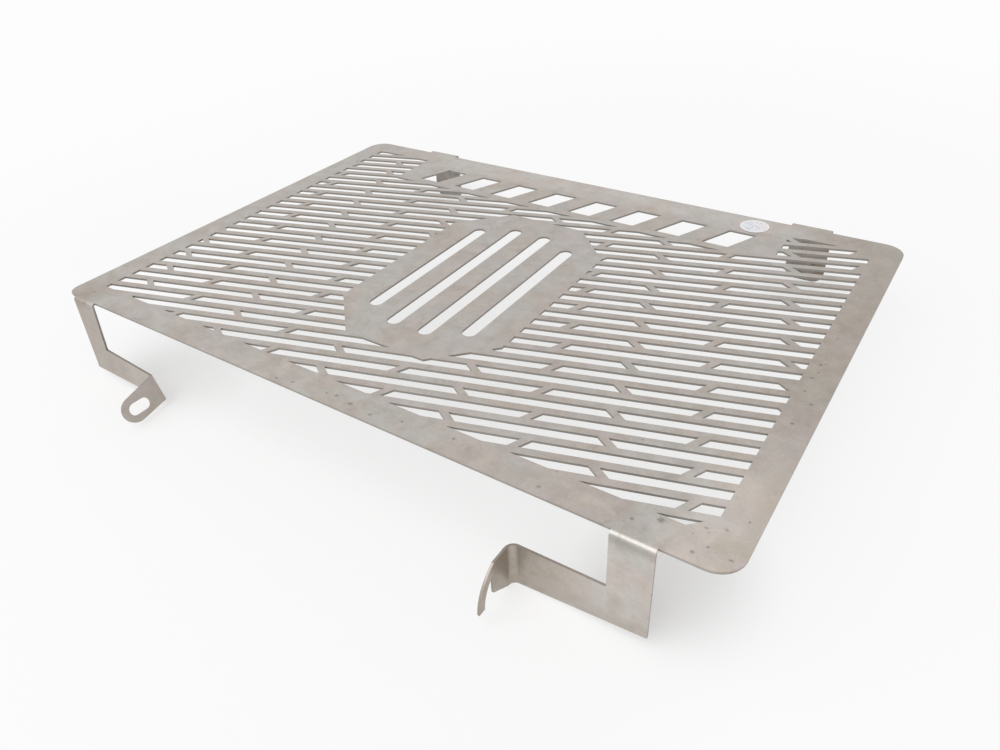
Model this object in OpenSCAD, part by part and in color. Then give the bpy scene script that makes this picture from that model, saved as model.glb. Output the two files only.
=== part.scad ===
// Radiator guard for a motorbike, cut and folded from one thin stainless sheet.
// The flat plate carries a lattice of slanted slots, a solid band at the back and
// a vent panel in the middle. Two legs hang from its front edge, each with an arm
// that ends in a folded ear, and two tabs hang from its back edge.
// Origin: middle of the plate's underside. X runs along the long side, +Y to the
// back edge, +Z out of the plate's outer face.

/* [Plate] */
// Length of the plate, side to side
plate_w = 345; // [330:1:370]
// Depth of the plate, front to back
plate_d = 239; // [229:1:255]
// Thickness of the sheet
sheet_t = 1; // [0.8:0.1:1.2]
// Radius of three of the plate's corners
corner_r = 10; // [6:0.5:13]
// Radius of the corner beside the left leg
left_corner_r = 6; // [2:0.5:7]
// Inside radius of the folds along the front and back edges
fold_r = 0.8; // [0.5:0.1:1.5]

/* [Lattice] */
// Plain border at the left and right of the slots
side_border = 13.3; // [12:0.1:16]
// Plain border in front of the slots
front_border = 13.3; // [12:0.1:16]
// Plain border behind the slots
back_border = 13; // [12:0.1:16]
// Angle at which the rows of slots rise to the right
row_angle = 16.5; // [12:0.5:20]
// Distance from one row to the next
row_pitch = 8; // [7:0.1:9]
// Width of a slot, across its row
slot_w = 4.6; // [3.5:0.1:5]
// Distance from one link to the next along a row
link_pitch = 61.5; // [50:0.1:75]
// Width of a link, square to its slanted sides
link_w = 3; // [2.5:0.1:4.5]
// Angle between a link and its row
link_angle = 48; // [40:1:70]
// Distance across the rows from the front left corner to the first row
row_start = 1.4; // [0:0.1:4]
// Distance along the rows from the front left corner to the first link
link_start = 37.1; // [20:0.1:50]
// Shift of every other row's links
row_stagger = 30.5; // [25:0.1:40]
// Size of the lattice's two cut corners on the right
lattice_cut = 8; // [1:0.5:12]
// Area of the smallest piece of a slot that is cut at the lattice's border
least_slot = 4; // [0:1:30]

/* [Back band] */
// Length of the solid band that crosses the lattice at the back
band_w = 238; // [200:1:260]
// Depth of the band, from the plate's back edge
band_d = 44.5; // [42:0.5:50]
// Height of the band's front right corner that is cut off along a row
band_cut = 6; // [1:0.5:10]
// Number of wide slots in the band
band_slots = 8; // [5:1:9]
// Distance from one wide slot to the next
band_pitch = 26.5; // [24:0.1:27]
// Length of a wide slot along the band
band_slot_w = 14; // [8:0.5:16]
// Height of a wide slot
band_slot_h = 19; // [12:0.5:20]
// Lean of the wide slots to the right
band_lean = 24; // [10:1:30]
// Distance from the back edge to the wide slots
band_slot_back = 20.5; // [18:0.5:21]

/* [Vent panel] */
// Width of the solid panel in the middle of the lattice
panel_w = 92; // [80:1:110]
// Depth of the panel
panel_d = 138; // [120:1:142]
// Size of the panel's cut corners along its front and back
panel_cut = 24; // [10:1:30]
// Distance from the plate's front edge to the panel
panel_front = 43; // [38:1:48]
// Number of long vents in the panel
vents = 4; // [2:1:5]
// Distance from one vent to the next
vent_pitch = 18; // [14:0.5:20]
// Width of a vent
vent_w = 7; // [4:0.5:9]
// Solid metal between a vent's end and the panel's edge
vent_margin = 15; // [12:0.5:20]

/* [Legs] */
// Width of the left leg at the plate
left_leg_w = 15.5; // [14:0.5:22]
// Width of the right leg
right_leg_w = 16; // [12:0.5:20]
// Distance from the plate's left edge to the left leg
left_leg_inset = 8.5; // [7.5:0.5:15]
// Distance from the plate's right edge to the right leg
right_leg_inset = 24.5; // [15:0.5:40]
// How far the left leg's inner edge leans outwards on its way down to the arm
left_leg_taper = 4.3; // [0:0.1:6]
// How far the left leg's outer edge leans outwards on its way down
left_leg_lean = 4.5; // [0:0.1:6]
// Depth of the left leg's lowest corner below the plate's outer face
left_leg_drop = 44; // [40:0.5:50]
// Depth of the right leg's lowest corner below the plate's outer face
right_leg_drop = 43.5; // [40:0.5:50]
// Height of the left arm where it leaves its leg
left_arm_h = 15.8; // [13:0.1:18]
// Height of the right arm where it leaves its leg
right_arm_h = 16.8; // [13:0.1:20]
// Distance that the left arm's top edge falls towards its ear
left_arm_fall = 3.4; // [0:0.1:5]
// Distance that the right arm's top edge falls towards its ear
right_arm_fall = 1; // [0:0.5:3]
// Distance from the left leg's outer side to its ear's far face
left_reach = 47.5; // [42:0.5:60]
// Distance from the right leg's outer side to its ear's far face
right_reach = 55; // [45:0.5:65]

/* [Ears] */
// Slant of the left ear's fold away from the upright
left_ear_tilt = 20; // [5:1:25]
// Length of the left ear's fold
left_ear_h = 14; // [12:0.5:16]
// Length of the right ear's upright fold
right_ear_h = 20.5; // [18:0.5:22]
// Inside radius of the left ear's fold
left_ear_fold_r = 1; // [0.5:0.1:3]
// Inside radius of the right ear's fold
right_ear_fold_r = 3; // [1:0.1:4]
// Length of the left ear, from the front of its arm to its round end
left_ear_len = 21.5; // [20:0.5:26]
// Radius of the left ear's round end
left_ear_r = 6.5; // [6:0.1:7]
// Fall of the left ear's round end below the middle of its fold
left_ear_fall = 2.9; // [0:0.1:5]
// Width of the closed slot in the left ear
ear_slot_w = 6.2; // [5:0.1:7]
// Length of the closed slot in the left ear
ear_slot_len = 11; // [8:0.1:12]
// Solid metal between the closed slot and the ear's round end
ear_slot_rim = 3.5; // [3:0.1:4.5]
// Outside radius of the right ear's hooked rim
hook_r = 21.4; // [20:0.1:24]
// Width of the hooked rim
hook_rim = 3.4; // [2.5:0.1:4.5]
// Distance from the front of the right arm to the hook's open slot
hook_web = 12.2; // [10:0.1:13]
// Height of the rim's centre above the right ear's lower corner
hook_centre = 2; // [1:0.1:4]
// Height of the rim's end above the right ear's lower corner
hook_end = 3; // [2:0.1:5]
// Height of the web's outer corner above the right ear's lower corner
hook_web_rise = 6; // [4:0.1:9]

/* [Back tabs] */
// Width of a back tab
tab_w = 20.5; // [15:0.5:25]
// Distance from the plate's left edge to the left tab's middle
left_tab_x = 56; // [45:0.5:70]
// Distance from the plate's right edge to the right tab's middle
right_tab_x = 46.5; // [35:0.5:60]
// Length of flat sheet between the back edge and a tab's fold
tab_root = 2.4; // [0:0.1:5]
// Depth of a tab's end below the plate's outer face
tab_drop = 31.5; // [25:0.5:38]
// Radius of a tab's lower corners
tab_r = 6; // [2:0.5:9]

/* [Sticker] */
// Diameter of the round paper sticker
sticker_d = 15; // [10:0.5:18]
// Distance from the plate's right edge to the sticker's middle
sticker_x = 73; // [65:0.5:80]
// Distance from the plate's back edge to the sticker's middle
sticker_y = 10.5; // [9.5:0.1:12]
// Thickness of the sticker
sticker_t = 0.2; // [0.1:0.05:0.3]

/* [Hidden] */
$fn = 64;
// Outside radius of the edge folds
fold_out = fold_r + sheet_t;
// Flat sheet that a folded strip shares with the plate
strip_join = 3;
// Depth of the relief notch below a slanted fold
relief = 0.8;
// Lattice window, from the plate's front left corner
window_lo = [side_border, front_border];
window_hi = [plate_w - side_border, plate_d - back_border];
// Front left corner of the back band and of the vent panel
band_at = [(plate_w - band_w) / 2, plate_d - band_d];
panel_at = [(plate_w - panel_w) / 2, panel_front];

// A point given along and across the rows, turned into plate coordinates
function on_plate(along, across) = [
    along * cos(row_angle) - across * sin(row_angle),
    along * sin(row_angle) + across * cos(row_angle)
];

// The part of a convex outline on the side of a line where normal * point is at most limit
function keep_side(outline, normal, limit) = [
    for (i = [0 : len(outline) - 1])
        let (a = outline[i], b = outline[(i + 1) % len(outline)],
             over_a = normal * a - limit, over_b = normal * b - limit)
        each concat(
            over_a <= 0 ? [a] : [],
            over_a * over_b < 0 ? [a + (b - a) * over_a / (over_a - over_b)] : []
        )
];

// The part of a convex outline on the inner side of every line in a list
function keep_sides(outline, lines, i = 0) =
    i == len(lines) || len(outline) < 3
        ? outline
        : keep_sides(keep_side(outline, lines[i][0], lines[i][1]), lines, i + 1);

// The lattice window's four borders and its two cut corners, each with its direction and distance
window_lines = [
    [[1, 0], window_hi[0]],
    [[-1, 0], -window_lo[0]],
    [[0, 1], window_hi[1]],
    [[0, -1], -window_lo[1]],
    [[1, 1], window_hi[0] + window_hi[1] - lattice_cut],
    [[1, -1], window_hi[0] - window_lo[1] - lattice_cut]
];

// Area of an outline
function area(outline, i = 0, total = 0) =
    i == len(outline)
        ? abs(total) / 2
        : area(outline, i + 1, total + cross(outline[i], outline[(i + 1) % len(outline)]));

// One slot: a long parallelogram between two links, leaning left in even rows and right in odd ones
function slot_outline(row, i) =
    let (even = row % 2 == 0,
         lean = (even ? -1 : 1) * slot_w / 2 / tan(link_angle),
         across = row_start + row * row_pitch,
         link = link_start - (even ? 0 : row_stagger) + i * link_pitch,
         start = link + link_w / 2 / sin(link_angle),
         end = link + link_pitch - link_w / 2 / sin(link_angle))
    [
        on_plate(start - lean, across - slot_w / 2),
        on_plate(end - lean, across - slot_w / 2),
        on_plate(end + lean, across + slot_w / 2),
        on_plate(start + lean, across + slot_w / 2)
    ];

module lattice_slots() {
    first_row = floor(-plate_w * sin(row_angle) / row_pitch);
    last_row = ceil(plate_d / row_pitch);
    last_slot = ceil((plate_w + plate_d) / link_pitch);
    for (row = [first_row : last_row])
        for (i = [-1 : last_slot]) {
            outline = keep_sides(slot_outline(row, i), window_lines);
            if (len(outline) > 2 && area(outline) > least_slot)
                polygon(outline);
        }
}

// What a sheet loses when the corner at the origin is rounded
module corner_waste(radius) {
    difference() {
        square(radius);
        translate([radius, radius])
            circle(radius);
    }
}

module rounded_plate() {
    difference() {
        square([plate_w, plate_d]);
        corner_waste(left_corner_r);
        translate([plate_w, 0])
            mirror([1, 0])
                corner_waste(corner_r);
        for (x = [0, 1])
            translate([x * plate_w, plate_d])
                rotate(-90 - x * 90)
                    corner_waste(corner_r);
    }
}

module panel_outline() {
    translate(panel_at)
        polygon([
            [panel_cut, 0], [panel_w - panel_cut, 0], [panel_w, panel_cut],
            [panel_w, panel_d - panel_cut], [panel_w - panel_cut, panel_d],
            [panel_cut, panel_d], [0, panel_d - panel_cut], [0, panel_cut]
        ]);
}

module band_cuts() {
    slant = band_slot_h * tan(band_lean);
    row_w = (band_slots - 1) * band_pitch + band_slot_w + slant;
    for (i = [0 : band_slots - 1])
        translate([(plate_w - row_w) / 2 + i * band_pitch, plate_d - band_slot_back - band_slot_h])
            polygon([
                [0, 0], [band_slot_w, 0],
                [band_slot_w + slant, band_slot_h], [slant, band_slot_h]
            ]);
}

// A slot with round ends, centred on the origin and running along Y
module round_slot(width, length) {
    square([width, length - width], center = true);
    for (end = [-1, 1])
        translate([0, end * (length - width) / 2])
            circle(d = width);
}

module panel_cuts() {
    straight = panel_w / 2 - panel_cut;
    for (i = [0 : vents - 1]) {
        x = (i - (vents - 1) / 2) * vent_pitch;
        cut_back = max(0, abs(x) + vent_w / 2 - straight);
        translate([plate_w / 2 + x, panel_front + panel_d / 2])
            round_slot(vent_w, panel_d - 2 * (vent_margin + cut_back));
    }
}

module flat_plate() {
    difference() {
        rounded_plate();
        difference() {
            lattice_slots();
            translate(band_at)
                polygon([
                    [0, 0], [band_w - band_cut / tan(row_angle), 0], [band_w, band_cut],
                    [band_w, band_d], [0, band_d]
                ]);
            panel_outline();
        }
        band_cuts();
        panel_cuts();
    }
}

// A strip of sheet that leaves the plate at the front edge and bends downwards after its flat root,
// with what hangs below the bend as its children
module folded_down(width, root) {
    cube([width, root + strip_join, sheet_t]);
    translate([0, 0, -fold_r]) {
        rotate([90, 0, 90])
            rotate([0, 0, 90])
                rotate_extrude(angle = 90)
                    translate([fold_r, 0])
                        square([sheet_t, width]);
        children();
    }
}

// An outline drawn in X and Z, given the sheet's thickness behind the fold
module hanging_sheet() {
    translate([0, -fold_r, 0])
        rotate([90, 0, 0])
            linear_extrude(sheet_t)
                children();
}

// The point where a line from the origin side touches a circle, above (1) or below (-1) its centre
function touch_point(from, centre, radius, side) =
    let (d = centre - from,
         to_centre = atan2(d[1], d[0]),
         opening = acos(radius / norm(d)),
         a = to_centre + 180 - side * opening)
    centre + radius * [cos(a), sin(a)];

// Outline of the closed ear, out from its fold (X) and along the fold, from its middle upwards (Y)
module closed_ear(fold_radius) {
    half = left_ear_h / 2;
    length = left_ear_len - fold_radius;
    centre = [length - left_ear_r, -left_ear_fall];
    slot_middle = length - ear_slot_rim - ear_slot_len / 2;
    difference() {
        union() {
            polygon([
                [0, half],
                touch_point([0, half], centre, left_ear_r, 1),
                centre,
                touch_point([0, -half], centre, left_ear_r, -1),
                [0, -half]
            ]);
            translate(centre)
                circle(left_ear_r);
        }
        translate([slot_middle, -left_ear_fall])
            rotate(90)
                round_slot(ear_slot_w, ear_slot_len);
    }
}

// Outline of the hooked ear, in the same directions as the closed one
module hooked_ear(fold_radius) {
    low = -right_ear_h / 2;
    web = hook_web - fold_radius;
    rim_centre = [-fold_radius, low + hook_centre];
    intersection() {
        translate(rim_centre)
            circle(hook_r);
        difference() {
            polygon([
                [0, -low], [hook_r, -low], [hook_r, low + hook_end],
                [web, low + hook_end], [web, low + hook_web_rise], [0, low]
            ]);
            intersection() {
                translate(rim_centre)
                    circle(hook_r - hook_rim);
                translate([web, low])
                    square([hook_r, right_ear_h]);
            }
        }
    }
}

// A leg that hangs from the front edge at X = 0, with its arm to the right and its ear as the children.
// The ear's fold starts at the end of the arm's top edge and is tilted away from the upright.
module leg(width, taper, lean, drop, arm_h, arm_fall, reach, ear_h, ear_fold_r, tilt) {
    low = fold_out - drop;
    arm_top = low + arm_h;
    fold_top = [
        reach - (ear_fold_r + sheet_t) * cos(tilt),
        arm_top - arm_fall
    ];
    // A point of the arm, given back from the fold's line and down along it
    function at_fold(back, down) = fold_top + [
        down * sin(tilt) - back * cos(tilt),
        -down * cos(tilt) - back * sin(tilt)
    ];
    arm_end = tilt == 0
        ? [fold_top, at_fold(0, ear_h)]
        : [fold_top, at_fold(relief, 3 * relief), at_fold(relief, ear_h)];
    folded_down(width, 0) {
        hanging_sheet()
            polygon(concat(
                [[0, 0], [width, 0], [width - taper, arm_top]],
                arm_end,
                [[-lean, low]]
            ));
        translate([fold_top[0], 0, fold_top[1]])
            rotate([0, -tilt, 0]) {
                if (tilt > 0)
                    hanging_sheet()
                        polygon([
                            [0, 0], [0, -ear_h], [-4 * relief, 3 * relief - ear_h],
                            [-4 * relief, -3 * relief]
                        ]);
                translate([0, -fold_out - ear_fold_r, -ear_h]) {
                    rotate_extrude(angle = 90)
                        translate([ear_fold_r, 0])
                            square([sheet_t, ear_h]);
                    translate([ear_fold_r + sheet_t, 0, ear_h / 2])
                        rotate([90, 0, -90])
                            linear_extrude(sheet_t)
                                children();
                }
            }
    }
}

module left_leg() {
    translate([left_leg_inset, 0, 0])
        leg(left_leg_w, left_leg_taper, left_leg_lean, left_leg_drop, left_arm_h, left_arm_fall,
            left_reach, left_ear_h, left_ear_fold_r, left_ear_tilt)
            closed_ear(left_ear_fold_r);
}

module right_leg() {
    translate([plate_w - right_leg_inset, 0, 0])
        mirror([1, 0, 0])
            leg(right_leg_w, 0, 0, right_leg_drop, right_arm_h, right_arm_fall,
                right_reach, right_ear_h, right_ear_fold_r, 0)
                hooked_ear(right_ear_fold_r);
}

// A tab that hangs from the back edge, with its middle at X = 0
module back_tab() {
    straight = tab_drop - fold_out - tab_r;
    translate([-tab_w / 2, plate_d + tab_root, 0])
        mirror([0, 1, 0])
            folded_down(tab_w, tab_root)
                hanging_sheet() {
                    translate([0, -straight])
                        square([tab_w, straight]);
                    translate([tab_r, -straight - tab_r])
                        square([tab_w - 2 * tab_r, tab_r]);
                    for (x = [tab_r, tab_w - tab_r])
                        translate([x, -straight])
                            circle(tab_r);
                }
}

module grille() {
    color([0.66, 0.65, 0.62])
        translate([-plate_w / 2, -plate_d / 2, 0]) {
            linear_extrude(sheet_t)
                flat_plate();
            left_leg();
            right_leg();
            for (x = [left_tab_x, plate_w - right_tab_x])
                translate([x, 0, 0])
                    back_tab();
        }
}

module round_label() {
    color("white")
        translate([plate_w / 2 - sticker_x, plate_d / 2 - sticker_y, sheet_t])
            cylinder(d = sticker_d, h = sticker_t);
}

grille();
round_label();
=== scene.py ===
import math

import bpy
import numpy as np
from bpy.props import (
    FloatProperty,
    FloatVectorProperty,
    IntProperty,
    PointerProperty,
)
from mathutils import Matrix, Vector


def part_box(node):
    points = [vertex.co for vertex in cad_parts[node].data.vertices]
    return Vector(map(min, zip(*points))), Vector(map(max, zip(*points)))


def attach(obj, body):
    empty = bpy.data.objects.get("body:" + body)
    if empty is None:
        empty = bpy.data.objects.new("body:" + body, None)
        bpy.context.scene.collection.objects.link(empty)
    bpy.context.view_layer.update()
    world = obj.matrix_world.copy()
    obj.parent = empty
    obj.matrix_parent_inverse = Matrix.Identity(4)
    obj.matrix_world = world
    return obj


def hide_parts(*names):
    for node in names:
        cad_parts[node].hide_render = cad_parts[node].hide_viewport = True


bl_info = {
    "name": "Radiator grille",
    "version": (1, 0, 0),
    "blender": (4, 5, 0),
    "location": "View3D > Sidebar > Grille",
    "description": "Finish, sticker, light and camera for a folded stainless radiator grille",
    "category": "Object",
}

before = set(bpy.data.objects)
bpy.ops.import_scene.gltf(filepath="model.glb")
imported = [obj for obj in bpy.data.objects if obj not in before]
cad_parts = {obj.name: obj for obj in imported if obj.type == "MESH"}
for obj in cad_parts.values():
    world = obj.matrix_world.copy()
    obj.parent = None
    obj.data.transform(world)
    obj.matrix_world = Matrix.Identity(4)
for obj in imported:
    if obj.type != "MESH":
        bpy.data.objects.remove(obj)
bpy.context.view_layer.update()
LABEL_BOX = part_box("round_label")
MM = 0.001

# Places on the sheet, as the part's source has them
PLATE_FRONT = -119.5 * MM
ROOT_BACK = 121.9 * MM
UNDERSIDE = 0.0
TOPSIDE = 1.0 * MM
FOLD_INSIDE = -0.8 * MM
ARM_FRONT = -121.3 * MM
LEFT_EAR_FLAT = -122.3 * MM
RIGHT_EAR_FLAT = -124.3 * MM
EAR_TILT = math.radians(20)
TABS_MIDDLE = 5 * MM
TAB_FROM_MIDDLE = 121 * MM
TABS_BACK = 123 * MM
RIGHT_FOOT = (146 * MM, -92 * MM)
LEFT_FOOT = (-125 * MM, -108 * MM)

# The photograph's camera, found from the plate's four straight edges, and the large lamp
CAMERA_PLACE = Vector((0.20224, -0.27164, 0.18364))
CAMERA_RIGHT = Vector((0.83016, 0.55543, -0.04834))
CAMERA_UP = Vector((-0.29650, 0.51326, 0.80539))
PICTURE_WIDTH = 1000
PICTURE_HEIGHT = 750
SENSOR_WIDTH = 36
LENS = 27.53
LAMP_PLACE = Vector((-0.25, -0.75, 1.05))
LAMP_SIZE = 1.6

# The floor lies this far below the part's lowest points
FLOOR_GAP = 0.05 * MM

# Rings from the sticker's middle to its rim, and the heights of its two faces at the middle and
# the lift of its rim, as shares of its thickness
LABEL_RINGS = 24
LABEL_TOP = 0.6
LABEL_UNDER = 0.02
RIM_LIFT = 0.35


class Field:
    """A number that varies over a surface. Python's operators on it add Math nodes."""

    def __init__(self, finish, socket):
        self.finish = finish
        self.socket = socket

    def calc(self, operation, *values):
        sockets = dict(enumerate(values))
        return self.finish.node("ShaderNodeMath", {"operation": operation}, sockets)

    def __add__(self, other):
        return self.calc("ADD", self, other)

    def __sub__(self, other):
        return self.calc("SUBTRACT", self, other)

    def __rsub__(self, other):
        return self.calc("SUBTRACT", other, self)

    def __mul__(self, other):
        return self.calc("MULTIPLY", self, other)

    def __truediv__(self, other):
        return self.calc("DIVIDE", self, other)

    def __pow__(self, other):
        return self.calc("POWER", self, other)

    def __abs__(self):
        return self.calc("ABSOLUTE", self)

    __radd__ = __add__
    __rmul__ = __mul__

    def either(self, other):
        """The larger of two masks."""
        return self.calc("MAXIMUM", self, other)

    def rise(self, low, high):
        """0 up to low, 1 from high on, with a smooth step between. It falls if low is above high."""
        sockets = {"Value": self, "From Min": low, "From Max": high}
        return self.finish.node(
            "ShaderNodeMapRange", {"interpolation_type": "SMOOTHSTEP"}, sockets
        )

    def rise_mm(self, low, high):
        """The same for a length, with both ends in millimetres."""
        return self.rise(low * MM, high * MM)

    def fract(self):
        """What is left of the number above the whole number below it."""
        return self.calc("FRACT", self)


class Finish:
    """A material, or the world, whose nodes are written as Python expressions."""

    def __init__(self, owner):
        owner.use_nodes = True
        self.owner = owner
        self.tree = owner.node_tree
        self.tree.nodes.clear()

    def node(self, kind, settings=None, sockets=None, *outputs):
        """Adds a node: its settings first, then each socket's value or link, by place or by name.
        Gives its first output, or the named ones."""
        made = self.tree.nodes.new(kind)
        for name, value in (settings or {}).items():
            setattr(made, name, value)
        for key, value in (sockets or {}).items():
            socket = self.find(made.inputs, key)
            if isinstance(value, Field):
                self.tree.links.new(value.socket, socket)
            else:
                socket.default_value = value
        if not made.outputs:
            return None
        fields = [Field(self, self.find(made.outputs, key)) for key in outputs or [0]]
        return fields if len(fields) > 1 else fields[0]

    def find(self, sockets, key):
        """A socket by its place, or by its identifier or name."""
        if isinstance(key, int):
            return sockets[key]
        return next(s for s in sockets if key in (s.identifier, s.name))

    def place(self):
        """Object coordinates, in metres from the part's origin."""
        return self.node("ShaderNodeTexCoord", None, None, "Object")

    def facing(self):
        """The direction that the surface faces, in the object's own axes."""
        return self.node("ShaderNodeTexCoord", None, None, "Normal")

    def split(self, vector):
        """X, Y and Z of a vector, as three numbers."""
        return self.node("ShaderNodeSeparateXYZ", None, {"Vector": vector}, "X", "Y", "Z")

    def mapped(self, vector, move=(0, 0, 0), turn=(0, 0, 0), scale=(1, 1, 1)):
        """The vector scaled, then turned, then moved."""
        sockets = {
            "Vector": vector,
            "Location": move,
            "Rotation": turn,
            "Scale": scale,
        }
        return self.node("ShaderNodeMapping", None, sockets)

    def noise(self, vector, size, detail=2.0, rough=0.5, warp=0.0):
        """Cloudy noise from about 0.3 to 0.7, with features of this size in metres."""
        sockets = {
            "Vector": vector,
            "Scale": 1 / size,
            "Detail": detail,
            "Roughness": rough,
            "Distortion": warp,
        }
        return self.node("ShaderNodeTexNoise", None, sockets)

    def blend(self, factor, first, second, how="MIX"):
        """Two colours mixed by a mask."""
        sockets = {"Factor_Float": factor, "A_Color": first, "B_Color": second}
        settings = {"data_type": "RGBA", "blend_type": how, "clamp_factor": True}
        return self.node("ShaderNodeMix", settings, sockets, "Result_Color")

    def dots(self, vector, spacing, radius, share, seed):
        """Round specks: in a share of the cells of a grid of this spacing, a spot fades out
        at its own part of the radius from the cell's point."""
        moved = self.mapped(vector, move=(seed, seed * 0.7, seed * 1.3))
        sockets = {"Vector": moved, "Scale": 1 / spacing}
        distance, colour = self.node(
            "ShaderNodeTexVoronoi", None, sockets, "Distance", "Color"
        )
        lot = self.split(colour)
        reach = radius / spacing
        spot = (distance / (lot[1] * reach + 0.3 * reach)).rise(1.0, 0.5)
        return spot * lot[0].rise(1 - share, 1 - share + 0.02)

    def shows_white(self):
        """1 for the camera's rays and those that metal or glass sends on, and 0 for the rest."""
        kinds = "Is Camera Ray", "Is Glossy Ray", "Is Transmission Ray"
        camera, glossy, passed = self.node("ShaderNodeLightPath", None, None, *kinds)
        return (camera + glossy + passed).rise(0, 1)

    def away(self, x, y, middle):
        """Distance of the point (x, y) from a middle on the same plane."""
        return ((x - middle[0]) ** 2 + (y - middle[1]) ** 2) ** 0.5

    def bump(self, height, strength, depth):
        """A normal from a height between 0 and 1 that stands for this depth in metres."""
        sockets = {"Strength": strength, "Distance": depth, "Height": height}
        return self.node("ShaderNodeBump", None, sockets)

    def surface(self, shader):
        self.node("ShaderNodeOutputMaterial", None, {"Surface": shader})
        return self.owner


def new_finish(name):
    return Finish(bpy.data.materials.new(name))


def cut_edge(finish):
    """1 on the thin edges where the sheet was cut, and 0 on its two broad faces and their bends.

    On the flat plate an edge faces sideways, on a bend it faces along the bend's axis, on a leg
    or tab it faces away from Y, and on an ear it faces across the ear's own normal.
    """
    x, y, z = finish.split(finish.place())
    nx, ny, nz = finish.split(finish.facing())
    hair = 0.02 * MM
    flat = y.rise(PLATE_FRONT - hair, PLATE_FRONT - hair / 2) * y.rise(
        ROOT_BACK + hair, ROOT_BACK + hair / 2
    )
    flat = flat * z.rise(UNDERSIDE - 2 * hair, UNDERSIDE - hair)
    low = z.rise(FOLD_INSIDE + hair, FOLD_INSIDE)
    ear = y.rise(ARM_FRONT - hair, ARM_FRONT - 2 * hair)
    left = x.rise(hair, -hair)
    along = left * (nx * math.sin(EAR_TILT) - nz * math.cos(EAR_TILT)) + (
        1 - left
    ) * nz
    across = left * (nx * math.cos(EAR_TILT) + nz * math.sin(EAR_TILT)) + (
        1 - left
    ) * nx
    ear_start = left * (LEFT_EAR_FLAT - RIGHT_EAR_FLAT) + RIGHT_EAR_FLAT
    ear_flat = (y - ear_start).rise(hair, -hair)
    on_plate = flat * (1 - abs(nz))
    on_bend = (1 - flat) * (1 - low) * abs(nx)
    on_leg = low * (1 - ear) * (1 - abs(ny))
    on_ear = ear * abs(along).either(ear_flat * (1 - abs(across)))
    return (on_plate + on_bend + on_leg + on_ear).rise(0.6, 0.85)


# A mark goes this deep into the sheet
MARK_DEPTH = 3 * MM

# Marks that can be told apart on the sheet: pixel of the photograph, half length and half width
# of the mark in millimetres, and its turn in degrees
DARK_MARKS = [
    ((661.4, 520.2), 1.5, 1.2, 0),
    ((662.6, 519.8), 0.9, 0.8, 0),
    ((631.8, 518.7), 0.8, 0.6, 0),
    ((692.0, 551.8), 0.9, 0.6, 0),
    ((707.9, 547.2), 0.8, 0.5, 30),
    ((731.3, 561.0), 0.8, 0.5, 0),
    ((706.3, 527.9), 0.7, 0.5, 0),
    ((336.8, 395.6), 1.1, 0.7, 10),
    ((350.3, 403.8), 1.3, 0.9, 0),
    ((369.8, 414.6), 1.0, 0.6, 0),
    ((401.8, 421.6), 0.9, 0.5, 0),
    ((276.0, 377.7), 1.0, 0.6, 0),
    ((292.8, 382.0), 0.9, 0.6, 20),
    ((327.0, 392.9), 0.8, 0.5, 0),
    ((812.0, 378.0), 0.9, 0.6, 0),
    ((811.4, 404.7), 0.8, 0.6, 0),
    ((804.4, 391.0), 0.7, 0.5, 0),
    ((821.0, 365.0), 0.8, 0.6, 0),
]


def on_plate(pixel):
    """The point where the camera's ray through a pixel of the photograph meets the plate's top
    face."""
    per_pixel = SENSOR_WIDTH / LENS / PICTURE_WIDTH
    across = (pixel[0] - PICTURE_WIDTH / 2) * per_pixel
    up = (PICTURE_HEIGHT / 2 - pixel[1]) * per_pixel
    ray = CAMERA_RIGHT * across + CAMERA_UP * up - CAMERA_RIGHT.cross(CAMERA_UP)
    return CAMERA_PLACE + ray * ((TOPSIDE - CAMERA_PLACE.z) / ray.z)


def oval(finish, place, middle, half_l, half_w, turn):
    """An oval spot on the plate's top face, with a soft and ragged rim."""
    there = finish.mapped(place, move=(-middle[0], -middle[1], -TOPSIDE))
    there = finish.mapped(there, turn=(0, 0, -math.radians(turn)))
    there = finish.mapped(there, scale=(1 / half_l, 1 / half_w, 1 / MARK_DEPTH))
    far = finish.node(
        "ShaderNodeVectorMath", {"operation": "LENGTH"}, {0: there}, "Value"
    )
    ragged = far + (finish.noise(place, 0.8 * MM) - 0.5) * 1.6
    return ragged.rise(1.4, 0.3)


def dull_and_shaded_stretches(look, x, y, z, hanging, close):
    """Where the sheet is darker and browner, from patina and painted shade: its right and back right
    borders, its front left corner and leg, and in blotches its right rim, the legs' feet and the
    right leg's arm. The borders, the front left corner and leg, and the right arm are partly painted
    shade."""
    # Painted shade with patina on the borders, the front left corner and leg, and the right arm;
    # patina in the blotches.
    right_side = x.rise_mm(135, 165) * y.rise_mm(-70, -10)
    back_right = (x + y).rise_mm(215, 265)
    left_end = x.rise_mm(-145, -158) * y.rise_mm(-98, -110)
    legs = hanging * y.rise_mm(-120, -121)
    left_leg = legs * x.rise_mm(-125, -155)
    right_rim = x.rise_mm(163, 171) * y.rise_mm(-50, -85)
    feet = legs * z.rise_mm(-33, -45)
    right_arm = hanging * x.rise_mm(128, 98) * x.rise_mm(0, 1)
    dull_and_shaded = right_side.either(back_right) * look.border_tarnish_and_shade
    dull_and_shaded = dull_and_shaded.either(left_end.either(left_leg) * look.left_tarnish_and_shade)
    dull_and_shaded = dull_and_shaded.either(right_rim.either(feet) * close.rise(0.35, 0.6) * 0.5)
    return dull_and_shaded.either(right_arm * (0.4 + close.rise(0.4, 0.65) * 0.6))


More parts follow.
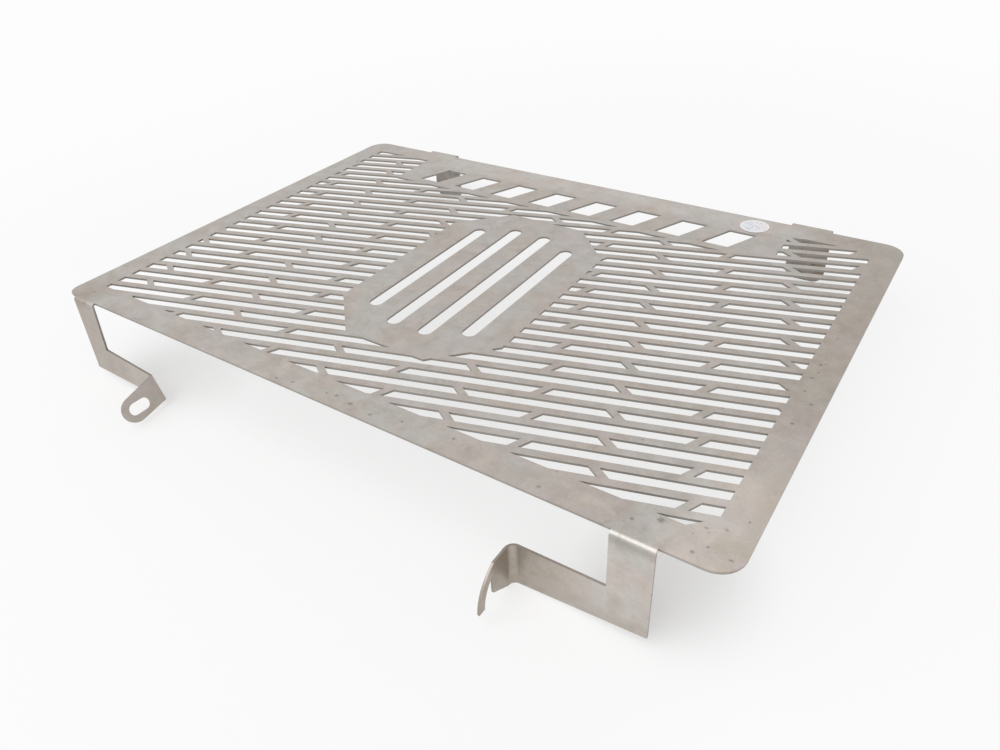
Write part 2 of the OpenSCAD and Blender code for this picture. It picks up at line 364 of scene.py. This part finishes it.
def painted_light_stretches(x, y, z, hanging):
    """Where the sheet is painted lighter, as painted light: the middle of its back border, its front
    right corner and its two legs, and most of all the right leg down to its arm."""
    back_middle = y.rise_mm(95, 108) * abs(x - 10 * MM).rise_mm(150, 90)
    front_right = x.rise_mm(140, 155) * y.rise_mm(-50, -90) * z.rise_mm(-1, 0)
    legs = hanging * y.rise_mm(-119, -120)
    right_leg = legs * x.rise_mm(110, 135) * z.rise_mm(-42, -34)
    return (back_middle * 0.8).either(front_right * 1.3).either(legs) + right_leg * 0.8


def stainless(look):
    """Dull stainless sheet: mottled warm grey, fine grain and rolling lines along X, brownish
    stains, pale smears, stretches of painted light, darker brownish stretches of patina and painted
    shade, a painted highlight on the right leg's bend, dark and rusty specks, painted shade on the
    back tabs, and darker, rougher cut edges, with painted light on the plate's outer front and right
    edges."""
    finish = new_finish("dull_stainless")
    place = finish.place()
    x, y, z = finish.split(place)
    edge = cut_edge(finish)
    patch = look.patch_size
    broad = finish.noise(place, patch, detail=3, rough=0.55, warp=0.6)
    close = finish.noise(
        finish.mapped(place, move=(3, 1, 2)), patch / 4, detail=5, rough=0.6, warp=0.4
    )
    grain = finish.noise(
        finish.mapped(place, move=(5, 2, 9)), look.grain_size, detail=3, rough=0.6
    )
    pink = finish.noise(
        finish.mapped(place, move=(7, 5, 1)), patch * 0.4, detail=4, rough=0.65
    )
    lines = finish.noise(
        finish.mapped(place, scale=(0.03, 1, 1)), look.line_size, detail=3, rough=0.7
    )
    smear = finish.noise(
        finish.mapped(place, move=(1, 8, 4), turn=(0, 0, 0.5), scale=(0.45, 1, 1)),
        patch * 0.45,
        detail=4,
        rough=0.6,
        warp=1.5,
    ).rise(0.56, 0.72)
    stain = finish.noise(
        finish.mapped(place, move=(2, 6, 3)),
        look.stain_size,
        detail=5,
        rough=0.65,
        warp=0.8,
    ).rise(0.46, 0.76)

    hanging = z.rise_mm(-1, -6)
    dull_and_shaded = dull_and_shaded_stretches(look, x, y, z, hanging, close)
    colour = finish.blend(broad.rise(0.38, 0.62), tuple(look.cool), tuple(look.warm))
    colour = finish.blend(pink.rise(0.48, 0.66) * 0.7, colour, tuple(look.pink))
    # Patina and painted shade over the darker stretches.
    colour = finish.blend(dull_and_shaded, colour, tuple(look.brown_tarnish_and_shade))
    colour = finish.blend(stain * look.stain, colour, tuple(look.brown_tarnish_and_shade))
    shade = close.rise(0.28, 0.72) * look.mottle + (1 - look.mottle / 2)
    shade = shade + (grain - 0.5) * look.grain + (lines - 0.5) * look.line_contrast
    # Painted light on the back border's middle, the front right corner and the legs.
    clean = painted_light_stretches(x, y, z, hanging)
    # Painted highlight along the right leg's upper bend.
    bend = y.rise(PLATE_FRONT, PLATE_FRONT - 0.4 * MM) * z.rise_mm(-1.6, -0.6)
    bend = bend * x.rise_mm(0, 1)
    shade = shade + smear * look.smear + clean * look.clean + bend * look.painted_bend_highlight
    sockets = {"Red": shade, "Green": shade, "Blue": shade}
    grey = finish.node("ShaderNodeCombineColor", None, sockets)
    colour = finish.blend(1.0, colour, grey, "MULTIPLY")

    marks = finish.dots(place, 9 * MM, radius=0.55 * MM, share=0.30, seed=0.3)
    small = finish.dots(place, 4.5 * MM, radius=0.35 * MM, share=0.16, seed=1.7)
    marks = marks.either(small)
    for pixel, half_l, half_w, turn in DARK_MARKS:
        marks = marks.either(
            oval(finish, place, on_plate(pixel), half_l * MM, half_w * MM, turn)
        )
    colour = finish.blend(marks * look.speck, colour, tuple(look.dirt_and_tab_shade))
    borders = y.rise_mm(-104, -112).either(x.rise_mm(150, 164)) * z.rise_mm(-1, 0)
    rust_zone = borders * broad.rise(0.40, 0.55)
    rust = finish.dots(place, 5 * MM, radius=0.9 * MM, share=0.45, seed=2.9)
    rust = rust * rust_zone
    colour = finish.blend(rust * look.rust_amount, colour, tuple(look.rust))
    # Painted shade on the two back tabs under the plate, in the colour of the dark specks.
    tab_shade = hanging * y.rise_mm(119, 120) * (0.45 + stain * 0.5) * look.tab_shade
    colour = finish.blend(tab_shade, colour, tuple(look.dirt_and_tab_shade))
    # Painted light: the plate's outer front and right edges take less of the cut colour than the
    # slots' walls.
    lit_outline = y.rise_mm(-108, -112).either(x.rise_mm(160, 166))
    lit_outline = lit_outline * (1 - hanging * x.rise_mm(-100, -120))
    cut = edge * (1 - lit_outline * look.outline_painted_light)
    colour = finish.blend(cut, colour, tuple(look.cut))

    roughness = (
        look.roughness
        + smear * 0.08
        + stain * 0.12
        + (close - 0.5) * 0.25
        + edge * 0.1
        + marks * 0.2
    )
    height = lines * 0.6 + close * 0.4 + grain * 0.5 - marks * 0.8
    bump = finish.bump(height, strength=0.35, depth=0.05 * MM)
    shader = finish.node(
        "ShaderNodeBsdfPrincipled",
        None,
        {
            "Base Color": colour,
            "Metallic": look.metallic,
            "Roughness": roughness,
            "Normal": bump,
        },
    )
    return finish.surface(shader)


def paper(look, middle):
    """White sticker paper with fine fibre and worn, slanted bars, blue on one side and pinkish on
    the other."""
    finish = new_finish("sticker_paper")
    place = finish.mapped(finish.place(), move=tuple(-c for c in middle))
    place = finish.mapped(place, turn=(0, 0, look.bar_turn))
    x, y, _ = finish.split(place)
    radius = (x * x + y * y) ** 0.5
    fibre = finish.noise(place, 0.5 * MM, detail=4, rough=0.7)
    worn = finish.noise(
        finish.mapped(place, scale=(1, 0.4, 1)), 0.5 * MM, detail=3, rough=0.6
    )
    bars = abs((x / look.bar_pitch + 50).fract() - 0.5)
    ink = bars.rise(0.42, 0.28) * worn.rise(0.45, 0.56)
    ink = ink * radius.rise(look.size * 0.46, look.size * 0.40)
    colour = finish.blend(
        fibre.rise(0.2, 0.8) * 0.2, tuple(look.paper), (0.7, 0.7, 0.7, 1)
    )
    tint = finish.blend(x.rise_mm(-1, 2), tuple(look.ink), tuple(look.second_ink))
    colour = finish.blend(ink * look.ink_amount, colour, tint)
    bump = finish.bump(fibre, strength=0.3, depth=0.03 * MM)
    shader = finish.node(
        "ShaderNodeBsdfPrincipled",
        None,
        {"Base Color": colour, "Roughness": look.gloss_roughness, "Normal": bump},
    )
    return finish.surface(shader)


def mesh_object(name, points, faces, material):
    """An object at the origin from arrays of points and faces."""
    mesh = bpy.data.meshes.new(name)
    mesh.from_pydata(points.tolist(), [], faces)
    mesh.update()
    mesh.materials.append(material)
    made = bpy.data.objects.new(name, mesh)
    bpy.context.scene.collection.objects.link(made)
    return made


def turned(profile, steps):
    """A closed form turned about Z from a profile of (radius, height) points whose ends lie on
    the axis. Point (i, j) is at radius r_i, height h_i and angle 2 pi j / steps."""
    profile = np.asarray(profile, float)
    angle = np.arange(steps) * 2 * np.pi / steps
    ring = profile[1:-1]
    points = np.stack(
        [
            ring[:, :1] * np.cos(angle),
            ring[:, :1] * np.sin(angle),
            ring[:, 1:] * np.ones(steps),
        ],
        axis=-1,
    )
    rows = len(ring)
    j = np.arange(steps)
    after = (j + 1) % steps
    row = np.arange(rows - 1)[:, None] * steps
    below = row + steps
    quads = np.stack([row + j, below + j, below + after, row + after], -1)
    quads = quads.reshape(-1, 4).tolist()
    top, bottom = rows * steps, rows * steps + 1
    fans = np.stack([np.full(steps, top), j, after], 1).tolist()
    last = (rows - 1) * steps
    fans += np.stack([np.full(steps, bottom), last + after, last + j], 1).tolist()
    ends = np.array([[0, 0, profile[0, 1]], [0, 0, profile[-1, 1]]])
    return np.concatenate([points.reshape(-1, 3), ends]), quads + fans


def floor_under(points):
    """Height on the Y axis and slope of the flat floor that carries the two back tabs and the
    lowest ear: the floor turns about the tabs' ends until it meets the front."""
    back = points[points[:, 1] > 0]
    tab = back[np.argmin(back[:, 2])]
    front = points[points[:, 1] < PLATE_FRONT]
    slope = np.max((tab[2] - front[:, 2]) / (tab[1] - front[:, 1]))
    return tab[2] - slope * tab[1], slope


class SheetLook(bpy.types.PropertyGroup):
    cool: FloatVectorProperty(
        name="Cool grey",
        description="Colour of the sheet where it looks cool",
        subtype="COLOR",
        size=4,
        default=(0.460, 0.441, 0.414, 1),
    )
    warm: FloatVectorProperty(
        name="Warm grey",
        description="Colour of the sheet where it looks warm",
        subtype="COLOR",
        size=4,
        default=(0.456, 0.410, 0.370, 1),
    )
    pink: FloatVectorProperty(
        name="Pink grey",
        description="Colour of the faint pinkish patches",
        subtype="COLOR",
        size=4,
        default=(0.474, 0.420, 0.404, 1),
    )
    # Brown of the stains, and of the darker stretches, which are painted shade as well as patina.
    brown_tarnish_and_shade: FloatVectorProperty(
        name="Tarnish",
        description="Colour of the dull brownish stretches",
        subtype="COLOR",
        size=4,
        default=(0.345, 0.300, 0.248, 1),
    )
    cut: FloatVectorProperty(
        name="Cut edge",
        description="Colour of the thin edges where the sheet was cut",
        subtype="COLOR",
        size=4,
        default=(0.330, 0.306, 0.280, 1),
    )
    # Colour of the dark specks, and of the painted shade on the back tabs.
    dirt_and_tab_shade: FloatVectorProperty(
        name="Dirt",
        description="Colour of the dark specks",
        subtype="COLOR",
        size=4,
        default=(0.075, 0.062, 0.050, 1),
    )
    rust: FloatVectorProperty(
        name="Rust",
        description="Colour of the rusty specks along the front and right borders",
        subtype="COLOR",
        size=4,
        default=(0.200, 0.110, 0.055, 1),
    )
    # Painted light on the plate's outer front and right edges.
    outline_painted_light: FloatProperty(
        name="Bright outline",
        description="How much the plate's outer front and right edges look like its faces",
        default=0.55,
    )
    metallic: FloatProperty(
        name="Metallic",
        description="Share of the sheet's look that is bare metal",
        default=0.9,
        min=0,
        max=1,
    )
    roughness: FloatProperty(
        name="Roughness",
        description="Roughness of the rolled surface",
        default=0.42,
        min=0,
        max=1,
    )
    patch_size: FloatProperty(
        name="Patch size",
        description="Size of the patches of warm and cool grey",
        unit="LENGTH",
        default=0.030,
    )
    stain_size: FloatProperty(
        name="Stain size",
        description="Size of the brownish stains",
        unit="LENGTH",
        default=0.009,
    )
    stain: FloatProperty(
        name="Stains",
        description="How strong the brownish stains are",
        default=0.38,
    )
    # Painted shade with patina on the right and back right borders.
    border_tarnish_and_shade: FloatProperty(
        name="Dull borders",
        description="How much duller the right and back right borders are",
        default=0.45,
    )
    # Painted shade with patina on the front left corner and the leg under it.
    left_tarnish_and_shade: FloatProperty(
        name="Dull left leg",
        description="How much duller the front left corner and the leg under it are",
        default=0.50,
    )
    # Painted light on the back border's middle, the front right corner and the legs.
    clean: FloatProperty(
        name="Clean stretches",
        description="How much lighter the clean stretches of the borders and the legs are",
        default=0.15,
    )
    # Painted highlight along the right leg's upper bend.
    painted_bend_highlight: FloatProperty(
        name="Bright bend",
        description="How much lighter the right leg's stretched bend is",
        default=0.03,
    )
    # Painted shade on the two back tabs.
    tab_shade: FloatProperty(
        name="Grime",
        description="How dirty the two back tabs are",
        default=0.75,
    )
    grain_size: FloatProperty(
        name="Grain size",
        description="Size of the fine grain",
        unit="LENGTH",
        default=0.0012,
    )
    grain: FloatProperty(
        name="Grain",
        description="Strength of the fine grain",
        default=0.22,
    )
    line_size: FloatProperty(
        name="Line width",
        description="Width of the fine rolling lines",
        unit="LENGTH",
        default=0.0006,
    )
    mottle: FloatProperty(
        name="Mottle",
        description="Strength of the light and dark mottling",
        default=0.15,
    )
    line_contrast: FloatProperty(
        name="Line contrast",
        description="Strength of the rolling lines",
        default=0.06,
    )
    smear: FloatProperty(
        name="Smears",
        description="How much the pale smears lighten the sheet",
        default=0.06,
    )
    speck: FloatProperty(
        name="Specks",
        description="How dark the specks are",
        default=0.43,
    )
    rust_amount: FloatProperty(
        name="Rust amount",
        description="How strong the rusty specks are",
        default=0.55,
    )


class StickerLook(bpy.types.PropertyGroup):
    size: FloatProperty(
        name="Diameter",
        description="Diameter of the sticker",
        unit="LENGTH",
        default=LABEL_BOX[1].x - LABEL_BOX[0].x,
    )
    thickness: FloatProperty(
        name="Thickness",
        description="Thickness of the sticker",
        unit="LENGTH",
        default=LABEL_BOX[1].z - LABEL_BOX[0].z,
    )
    steps: IntProperty(
        name="Steps",
        description="Steps round the sticker",
        default=96,
    )
    paper: FloatVectorProperty(
        name="Paper",
        description="Colour of the paper",
        subtype="COLOR",
        size=4,
        default=(0.95, 0.95, 0.955, 1),
    )
    ink: FloatVectorProperty(
        name="Ink",
        description="Colour of the faded print",
        subtype="COLOR",
        size=4,
        default=(0.36, 0.45, 0.66, 1),
    )
    second_ink: FloatVectorProperty(
        name="Second ink",
        description="Colour of the faded print on the other side",
        subtype="COLOR",
        size=4,
        default=(0.66, 0.46, 0.50, 1),
    )
    ink_amount: FloatProperty(
        name="Ink amount",
        description="How strong the faded print is",
        default=0.65,
    )
    bar_pitch: FloatProperty(
        name="Bar distance",
        description="Distance from one printed bar to the next",
        unit="LENGTH",
        default=0.0019,
    )
    bar_turn: FloatProperty(
        name="Bar turn",
        description="Turn of the printed bars on the sheet",
        subtype="ANGLE",
        default=math.radians(-46.2),
    )
    gloss_roughness: FloatProperty(
        name="Roughness",
        description="Roughness of the paper",
        default=0.5,
    )


class StageLook(bpy.types.PropertyGroup):
    floor_size: FloatProperty(
        name="Floor size",
        description="Side of the square floor",
        unit="LENGTH",
        default=6.0,
    )
    floor: FloatVectorProperty(
        name="Floor",
        description="Colour of the floor",
        subtype="COLOR",
        size=4,
        default=(0.95, 0.95, 0.95, 1),
    )
    white: FloatVectorProperty(
        name="White",
        description="Colour of the background and of the floor far from the part",
        subtype="COLOR",
        size=4,
        default=(0.983, 0.983, 0.983, 1),
    )
    shadow_share: FloatProperty(
        name="Shadow share",
        description="Share of the floor's look near the part that takes light and shadow",
        default=0.33,
    )
    shadow_at_feet: FloatProperty(
        name="Shadow at the feet",
        description="Shadow share close to the two legs' feet",
        default=0.70,
    )
    shadow_behind: FloatProperty(
        name="Shadow behind",
        description="Part of the shadow share that is left behind and right of the part",
        default=0.50,
    )
    shadow_reach: FloatProperty(
        name="Shadow reach",
        description="Distance from the part at which the floor turns plain white",
        unit="LENGTH",
        default=0.60,
    )
    sky: FloatProperty(
        name="Sky",
        description="Strength of the light that comes from all round",
        default=0.53,
    )
    key: FloatProperty(
        name="Key lamp",
        description="Power of the large lamp above the front",
        unit="POWER",
        default=12.3,
    )
    lens: FloatProperty(
        name="Lens",
        description="Focal length, for a picture 36 mm wide",
        unit="CAMERA",
        default=LENS,
    )


class GRILLE_OT_finish_sheet(bpy.types.Operator):
    """Gives the folded sheet its dull stainless finish"""

    bl_idname = "grille.finish_sheet"
    bl_label = "Finish the sheet"

    def execute(self, context):
        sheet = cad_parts["grille"]
        sheet.material_slots[0].material = stainless(context.scene.sheet_look)
        return {"FINISHED"}


class GRILLE_OT_stick_label(bpy.types.Operator):
    """Makes the round paper sticker, whose rim lifts slightly off the sheet"""

    bl_idname = "grille.stick_label"
    bl_label = "Stick the label"

    def execute(self, context):
        look = context.scene.sticker_look
        middle = (LABEL_BOX[0] + LABEL_BOX[1]) / 2
        middle.z = LABEL_BOX[0].z
        radius = look.size / 2
        # The lift grows with the sixth power of the distance from the middle
        share = np.linspace(0, 1, LABEL_RINGS)
        lift = RIM_LIFT * look.thickness * share**6
        top = np.stack([radius * share, LABEL_TOP * look.thickness + lift], 1)
        under = np.stack([radius * share, LABEL_UNDER * look.thickness + lift], 1)
        points, faces = turned(np.concatenate([top, under[::-1]]), look.steps)
        finish = paper(look, middle)
        label = mesh_object("paper_label", points + np.array(middle), faces, finish)
        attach(label, "root")
        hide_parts("round_label")
        return {"FINISHED"}


class GRILLE_OT_set_stage(bpy.types.Operator):
    """Lays the floor under the part and sets the lamps, the sky and the camera"""

    bl_idname = "grille.set_stage"
    bl_label = "Set the stage"

    def execute(self, context):
        look = context.scene.stage_look
        scene = context.scene
        self.lay_floor(look)
        self.light(look, scene)
        self.aim_camera(look, scene)
        scene.view_settings.view_transform = "Standard"
        return {"FINISHED"}

    def lay_floor(self, look):
        """A flat square that slopes with the part's own resting plane. The camera sees it as a mix
        of plain white and matt paint. The matt share takes the shadow: it is largest at the feet,
        smaller under the part, and fades out round it."""
        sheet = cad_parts["grille"].data
        points = np.empty(len(sheet.vertices) * 3)
        sheet.vertices.foreach_get("co", points)
        height, slope = floor_under(points.reshape(-1, 3))
        side = np.array([-0.5, 0.5]) * look.floor_size
        gx, gy = np.meshgrid(side, side)
        corners = np.stack([gx, gy, height + slope * gy - FLOOR_GAP], -1).reshape(-1, 3)
        finish = new_finish("pale_floor")
        white = finish.node("ShaderNodeEmission", None, {"Color": tuple(look.white)})
        matt = finish.node("ShaderNodeBsdfDiffuse", None, {"Color": tuple(look.floor)})
        x, y, _ = finish.split(finish.place())
        far = finish.away(x, y, (0, 0))
        near = far.rise(look.shadow_reach, look.shadow_reach / 3)
        front = y.rise_mm(130, -40) * x.rise_mm(190, 135)
        near = near * (front * (1 - look.shadow_behind) + look.shadow_behind)
        right_foot = finish.away(x, y, RIGHT_FOOT).rise_mm(45, 12)
        left_foot = finish.away(x, y, LEFT_FOOT).rise_mm(50, 15)
        from_middle = abs(x - TABS_MIDDLE)
        tabs = finish.away(from_middle, y, (TAB_FROM_MIDDLE, TABS_BACK)).rise_mm(40, 10)
        feet = right_foot.either(left_foot * 0.5).either(tabs)
        dark = feet * (look.shadow_at_feet - look.shadow_share) + look.shadow_share
        share = finish.shows_white() * (1 - near * dark)
        lit = finish.node("ShaderNodeMixShader", None, {0: share, 1: matt, 2: white})
        floor = mesh_object("floor", corners, [(0, 1, 3, 2)], finish.surface(lit))

    def light(self, look, scene):
        """A sky that is white to the camera and in reflections, and one large lamp that is turned
        to the origin."""
        world = bpy.data.worlds.new("studio")
        scene.world = world
        sky = Finish(world)
        strength = sky.shows_white() * (1 - look.sky) + look.sky
        sockets = {"Color": tuple(look.white), "Strength": strength}
        glow = sky.node("ShaderNodeBackground", None, sockets)
        sky.node("ShaderNodeOutputWorld", None, {"Surface": glow})
        data = bpy.data.lights.new("key_lamp", "AREA")
        data.shape = "SQUARE"
        data.size = LAMP_SIZE
        data.energy = look.key
        lamp = bpy.data.objects.new("key_lamp", data)
        turn = (-LAMP_PLACE).to_track_quat("-Z", "Y")
        lamp.matrix_world = Matrix.LocRotScale(LAMP_PLACE, turn, None)
        scene.collection.objects.link(lamp)

    def aim_camera(self, look, scene):
        """The camera at the photograph's place and angle."""
        back = CAMERA_RIGHT.cross(CAMERA_UP)
        data = bpy.data.cameras.new("camera")
        data.sensor_width = SENSOR_WIDTH
        data.lens = look.lens
        made = bpy.data.objects.new("camera", data)
        turn = Matrix((CAMERA_RIGHT, CAMERA_UP, back)).transposed().to_quaternion()
        made.matrix_world = Matrix.LocRotScale(CAMERA_PLACE, turn, None)
        scene.collection.objects.link(made)
        scene.camera = made


class GRILLE_PT_panel(bpy.types.Panel):
    """Lists the looks and the steps that make them"""

    bl_idname = "GRILLE_PT_panel"
    bl_label = "Radiator grille"
    bl_space_type = "VIEW_3D"
    bl_region_type = "UI"
    bl_category = "Grille"

    def draw(self, context):
        for name, operators in STEPS:
            look = getattr(context.scene, name)
            box = self.layout.box()
            for prop in look.bl_rna.properties:
                if not prop.is_readonly and prop.identifier != "name":
                    box.prop(look, prop.identifier)
            for operator in operators:
                box.operator(operator)


STEPS = [
    ("sheet_look", ["grille.finish_sheet"]),
    ("sticker_look", ["grille.stick_label"]),
    ("stage_look", ["grille.set_stage"]),
]
CLASSES = [
    SheetLook,
    StickerLook,
    StageLook,
    GRILLE_OT_finish_sheet,
    GRILLE_OT_stick_label,
    GRILLE_OT_set_stage,
    GRILLE_PT_panel,
]


def register():
    for cls in CLASSES:
        bpy.utils.register_class(cls)
    bpy.types.Scene.sheet_look = PointerProperty(type=SheetLook)
    bpy.types.Scene.sticker_look = PointerProperty(type=StickerLook)
    bpy.types.Scene.stage_look = PointerProperty(type=StageLook)


def unregister():
    del bpy.types.Scene.stage_look
    del bpy.types.Scene.sticker_look
    del bpy.types.Scene.sheet_look
    for cls in reversed(CLASSES):
        bpy.utils.unregister_class(cls)


def main():
    """Runs every step."""
    register()
    bpy.ops.grille.set_stage()
    bpy.ops.grille.finish_sheet()
    bpy.ops.grille.stick_label()


if __name__ == "__main__":
    main()
